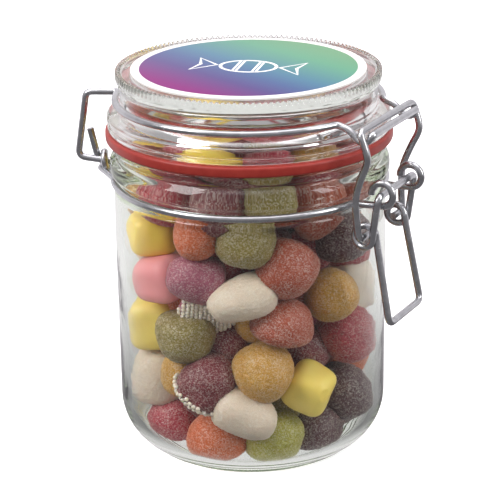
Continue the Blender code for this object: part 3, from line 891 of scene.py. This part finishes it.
def candy_list(rng):
    """Every sweet as [shape, coat, place, width, length, turn, detail, how freely it moves]."""
    reach = BODY_RADIUS - WALL - CLEAR_OF_GLASS
    to_viewer = polar(CAMERA_AZIMUTH - 90.0, 1.0, 0.0)
    sweets = []
    for shape, coat, angle, z, width, length, roll, nod, inset in SHOWN_CANDY:
        lean = math.radians(nod)
        thick = math.hypot(width * math.cos(lean), length * math.sin(lean))
        place = polar(angle, reach - inset - 0.48 * thick, z)
        turn = facing(to_viewer, roll, nod, 35)
        sweets.append([shape, coat, place, width, length, turn, SHOWN_DETAIL, FIXED])
    for shape, coat, angle, z, radius in DEEP_CANDY:
        turn = facing(to_viewer, rng.uniform(-60, 60), rng.uniform(0, 40), 0)
        place = polar(angle, radius, z)
        sweets.append([shape, coat, place, DEEP_WIDTH, DEEP_LENGTH, turn, BACK_DETAIL, HALF_FREE])
    loose = []
    span = BACK_LAST_ANGLE - BACK_FIRST_ANGLE
    for row, z in enumerate(BACK_ROWS):
        for i in range(BACK_COUNT):
            angle = BACK_FIRST_ANGLE + span * (i + 0.5 * (row % 2)) / BACK_COUNT
            place = polar(angle + rng.uniform(-3, 3), reach - CANDY_WIDTH / 2, z + rng.uniform(-2, 2))
            loose.append((place, BACK_DETAIL))
    for row, z in enumerate(INNER_ROWS):
        for i in range(INNER_COUNT):
            angle = 360.0 * (i + 0.5 * (row % 2)) / INNER_COUNT
            loose.append((polar(angle, INNER_RADIUS, z), INNER_DETAIL))
    for number, (place, detail) in enumerate(loose):
        coat = BACK_COATS[(5 * number) % len(BACK_COATS)]
        shape = CANDY_SHAPES[number % len(CANDY_SHAPES)]
        width, length = CANDY_WIDTH + rng.uniform(-1, 1), CANDY_LENGTH + rng.uniform(-1, 2)
        outward = Vector((place.x, place.y, 0.0)).normalized()
        turn = facing(outward, rng.uniform(-90, 90), rng.uniform(-20, 60), rng.uniform(0, 90))
        sweets.append([shape, coat, place, width, length, turn, detail, FREE])
    for z, radius, first, coats in TOP_RINGS:
        for i, coat in enumerate(coats):
            angle = first + 360.0 * i / len(coats)
            turn = facing(to_viewer, rng.uniform(-90, 90), rng.uniform(0, 40), 0)
            place = polar(angle, radius, z + rng.uniform(-1, 1))
            shape = "block" if coat in SMOOTH_COATS else "drop"
            sweets.append([shape, coat, place, CANDY_WIDTH, CANDY_LENGTH, turn, BACK_DETAIL, HALF_FREE])
    return sweets


def room_inside(z):
    """The radius that is free inside the glass at heights z."""
    inner = BODY_RADIUS - WALL
    corner = FOOT_CORNER - WALL
    below = np.clip(FLOOR_THICKNESS + corner - z, 0.0, corner)
    foot = inner - corner + np.sqrt(corner ** 2 - below ** 2)
    heights = [SHOULDER_Z - 5.0, NECK_INNER_Z, RIM_Z, GASKET_TOP, LID_HOLLOW_Z]
    radii = [inner, MOUTH_RADIUS, MOUTH_RADIUS, LID_HOLLOW_RADIUS, LID_HOLLOW_RADIUS]
    upper = np.interp(z, heights, radii)
    return np.minimum(foot, upper) - CLEAR_OF_GLASS


def settled(sweets):
    """Pushes overlapping sweets apart and back inside the glass, as a shaken jar does."""
    places = np.array([list(sweet[2]) for sweet in sweets])
    size = np.array([TOUCH_SHARE * (sweet[3] + sweet[4]) for sweet in sweets])
    free = np.array([sweet[7] for sweet in sweets])
    for _ in range(SETTLE_ROUNDS):
        apart = places[:, None] - places[None]
        gap = np.linalg.norm(apart, axis=2) + 1e-6
        overlap = np.clip(size[:, None] + size[None] - gap, 0.0, None)
        np.fill_diagonal(overlap, 0.0)
        share = free[:, None] / (free[:, None] + free[None])
        places += 0.5 * (apart / gap[..., None] * (overlap * share)[..., None]).sum(axis=1)
        radius = np.hypot(places[:, 0], places[:, 1]) + 1e-6
        limit = room_inside(places[:, 2] - HEEL_SHARE * size) - WALL_SHARE * size
        places[:, :2] *= (np.minimum(radius, limit) / radius)[:, None]
        lowest = FLOOR_THICKNESS + FLOOR_SHARE * size
        places[:, 2] = np.clip(places[:, 2], lowest, HEAP_TOP - size)
    return places


def bead_places(place, turn, width, length, rng):
    """White sugar beads packed over the foot of a sweet."""
    beads = []
    step = BEAD_GAP * BEAD_RADIUS
    for i in range(-9, 10):
        for k in range(-10, 11):
            x = (i + 0.5 * (k % 2)) * step
            y = k * step * BEAD_ROW_GAP
            out = math.hypot(x, y) / (BEAD_COVER * width)
            if out > 0.98:
                continue
            z = -(length / 2 + 0.3) * (1 - out ** BEAD_POWER) ** (1 / BEAD_POWER)
            z += rng.uniform(-BEAD_JITTER, BEAD_JITTER)
            x += rng.uniform(-BEAD_JITTER, BEAD_JITTER)
            local = Vector((x, y + rng.uniform(-BEAD_JITTER, BEAD_JITTER), z))
            beads.append(place + turn @ local)
    return beads


def make_candy(materials):
    """One joined mesh for each coat, from sweets at true size."""
    rng = random.Random(RANDOM_SEED)
    grain_rng = np.random.default_rng(RANDOM_SEED)
    heaps = {}
    beads = []
    sweets = candy_list(rng)
    for sweet, place in zip(sweets, settled(sweets)):
        shape, coat, _, width, length, turn, detail, _ = sweet
        ways, quads = SPHERES[detail]
        form = candy_form(shape, ways, width, length, grain_rng)
        if coat not in SMOOTH_COATS:
            grains = grain_rng.uniform(-1.0, 1.0, len(form)) * GRAIN_HEIGHT
            form *= (1 + grains / np.linalg.norm(form, axis=1))[:, None]
        points = form @ np.array(turn).T + place
        beyond = (np.hypot(points[:, 0], points[:, 1]) - room_inside(points[:, 2])).max()
        outwards = np.append(place[:2], 0.0) / np.hypot(*place[:2])
        inwards = outwards * min(max(DRAW_SHARE * beyond, 0.0), DRAW_IN)
        points -= inwards
        if shape == "beaded":
            beads += bead_places(Vector(place - inwards), turn, width, length, rng)
        points[:, 2] -= max(points[:, 2].max() - HEAP_TOP, 0.0)
        points[:, 2] = np.maximum(points[:, 2], FLOOR_THICKNESS + CLEAR_OF_GLASS)
        radius = np.hypot(points[:, 0], points[:, 1])
        points[:, :2] *= (np.minimum(radius, room_inside(points[:, 2])) / radius)[:, None]
        store = heaps.setdefault(coat, {"points": [], "faces": [], "count": 0})
        store["points"].append(points)
        store["faces"].append(quads + store["count"])
        store["count"] += len(points)
    pieces = []
    for coat, store in heaps.items():
        points = np.concatenate(store["points"]) * MM
        faces = np.concatenate(store["faces"])
        pieces.append(new_object(f"candy_{coat}", points.tolist(), faces.tolist(), materials[coat]))
    ways, quads = cube_sphere(BEAD_DETAIL)
    points = [ways * BEAD_RADIUS + np.array(bead) for bead in beads]
    faces = [quads + i * len(ways) for i in range(len(beads))]
    pieces.append(new_object("sugar_beads", (np.concatenate(points) * MM).tolist(),
                             np.concatenate(faces).tolist(), materials["cream"]))
    return pieces


# Stage

def view_axis():
    """The level direction in which the camera looks."""
    turn = math.radians(CAMERA_AZIMUTH)
    return Vector((-math.sin(turn), math.cos(turn), 0.0))


def make_floor():
    """White paper. Seen straight on it is white; glass and steel pick up its dimmer glow instead, with
    a painted pool of light beneath the jar.
    """
    material, tree, shader = new_material("white studio paper")
    fill(shader, {"Base Color": linear("#FAFAFA"), "Roughness": 0.9, "Specular IOR Level": 0.0,
                  "Emission Color": linear("#FFFFFF"), "Emission Strength": FLOOR_LIFT})
    place = add(tree, "ShaderNodeTexCoord")
    along = add(tree, "ShaderNodeVectorMath", {1: tuple(view_axis())}, {0: (place, "Object")},
                operation="DOT_PRODUCT")
    behind = add(tree, "ShaderNodeMapRange", {"From Min": -0.03, "From Max": 0.13,
                                              "To Min": FRONT_TONE, "To Max": COVE_TONE},
                 {"Value": (along, "Value")}, interpolation_type="SMOOTHSTEP")
    reach = add(tree, "ShaderNodeVectorMath", links={0: (place, "Object")}, operation="LENGTH")
    # Painted pool of light: the paper glows brighter beneath the jar, where the glass sees it through
    # its foot
    painted_pool_beneath = add(tree, "ShaderNodeMapRange", {"From Min": 0.035, "From Max": 0.049,
                                               "To Min": COVE_TONE, "To Max": FRONT_TONE},
                  {"Value": (reach, "Value")}, interpolation_type="SMOOTHSTEP")
    fade = add(tree, "ShaderNodeMath", links={0: (behind, "Result"), 1: (painted_pool_beneath, "Result")},
               operation="MAXIMUM")
    glow = add(tree, "ShaderNodeEmission", {"Color": linear(COVE_TINT)}, {"Strength": (fade, "Value")})
    path = add(tree, "ShaderNodeLightPath")
    sight = add(tree, "ShaderNodeMixShader",
                links={0: (path, "Is Camera Ray"), 1: (glow, "Emission"), 2: (shader, "BSDF")})
    fill(tree.nodes["Material Output"], links={"Surface": (sight, "Shader")})
    half = FLOOR_HALF
    points = [(-half, -half, 0), (half, -half, 0), (half, half, 0), (-half, half, 0)]
    floor = new_object("studio_floor", points, [(0, 1, 2, 3)], material, smooth=False)
    floor.location.z = -FLOOR_DROP


def make_camera():
    """The camera that was fitted to the photograph."""
    turn = math.radians(CAMERA_AZIMUTH)
    data = bpy.data.cameras.new("camera")
    data.lens = CAMERA_LENS
    data.sensor_width = CAMERA_SENSOR
    data.shift_x = CAMERA_SHIFT
    data.clip_start = 0.01
    camera = bpy.data.objects.new("camera", data)
    bpy.context.scene.collection.objects.link(camera)
    camera.location = (CAMERA_DISTANCE * math.sin(turn) * MM, -CAMERA_DISTANCE * math.cos(turn) * MM,
                       CAMERA_HEIGHT * MM)
    stand = Matrix.Rotation(turn, 4, "Z") @ Matrix.Rotation(math.radians(90 - CAMERA_PITCH), 4, "X")
    stand = stand @ Matrix.Rotation(math.radians(CAMERA_ROLL), 4, "Z")
    camera.rotation_euler = stand.to_euler()
    bpy.context.scene.camera = camera


def make_light(name, side, elevation, distance, size, power):
    """A soft box, side degrees round from the camera, aimed at the jar."""
    data = bpy.data.lights.new(name, "AREA")
    data.shape = "RECTANGLE"
    data.size, data.size_y = size
    data.energy = power
    light = bpy.data.objects.new(name, data)
    bpy.context.scene.collection.objects.link(light)
    turn, rise = math.radians(CAMERA_AZIMUTH + side), math.radians(elevation)
    way = Vector((math.sin(turn) * math.cos(rise), -math.cos(turn) * math.cos(rise), math.sin(rise)))
    light.location = Vector((0.0, 0.0, LIGHT_TARGET_Z)) + way * distance
    light.rotation_euler = way.to_track_quat("Z", "Y").to_euler()


def make_studio():
    """A white cove behind the jar, a dim room in front, a bright ceiling, and three soft boxes."""
    scene = bpy.context.scene
    scene.view_settings.view_transform = "Standard"
    scene.cycles.max_bounces = GLASS_BOUNCES
    scene.cycles.transmission_bounces = GLASS_BOUNCES
    scene.cycles.glossy_bounces = GLASS_BOUNCES
    scene.world = scene.world or bpy.data.worlds.new("studio")
    scene.world.use_nodes = True
    tree = scene.world.node_tree
    way = add(tree, "ShaderNodeTexCoord")
    along = add(tree, "ShaderNodeVectorMath", {1: tuple(view_axis())}, {0: (way, "Generated")},
                operation="DOT_PRODUCT")
    fade = add(tree, "ShaderNodeMapRange", {"From Min": 0.1, "From Max": 0.8,
                                            "To Min": ROOM_TONE, "To Max": COVE_TONE},
               {"Value": (along, "Value")}, interpolation_type="SMOOTHSTEP")
    parts = add(tree, "ShaderNodeSeparateXYZ", links={"Vector": (way, "Generated")})
    ceiling = add(tree, "ShaderNodeMapRange", {"From Min": 0.72, "From Max": 0.9,
                                               "To Min": 0.0, "To Max": CEILING_TONE},
                  {"Value": (parts, "Z")}, interpolation_type="SMOOTHSTEP")
    tone = add(tree, "ShaderNodeMath", links={0: (fade, "Result"), 1: (ceiling, "Result")},
               operation="ADD")
    fill(tree.nodes["Background"], {"Color": linear(COVE_TINT)}, {"Strength": (tone, "Value")})
    for light in LIGHTS:
        make_light(*light)


def dress(pieces, body, nodes):
    """Says what body the pieces ride on, and hides the solids they stand for."""
    for piece in pieces:
        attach(piece, body)
        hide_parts(*nodes)


def main():
    make_camera()
    jar_glass = soda_lime_glass("jar")
    lid_glass = soda_lime_glass("lid")
    wire_steel = galvanised_wire()
    jar = make_jar(jar_glass)
    lid = make_lid(lid_glass)
    for glass in (jar, lid):
        glass.visible_shadow = False
    dress([jar], "jar", ["glass_jar"])
    dress([lid], "jar", ["glass_lid"])
    dress([make_gasket(red_gasket_rubber())], "jar", ["rubber_gasket"])
    dress([make_label(printed_film()), make_motif(white_ink())], "jar", ["lid_label"])
    dress(make_lid_wire(wire_steel), "jar", ["lid_wire"])
    dress([make_neck_wire(wire_steel)], "jar", ["neck_wire"])
    dress([make_lever(wire_steel)], "lever", ["clasp_lever"])
    dress([make_latch(wire_steel)], "latch", ["clasp_latch"])
    coats = {coat: (smooth_fondant if coat in SMOOTH_COATS else sugared_jelly)(coat) for coat in COATS}
    dress(make_candy(coats), "jar", ["candy_heap"])
    make_floor()
    make_studio()


main()
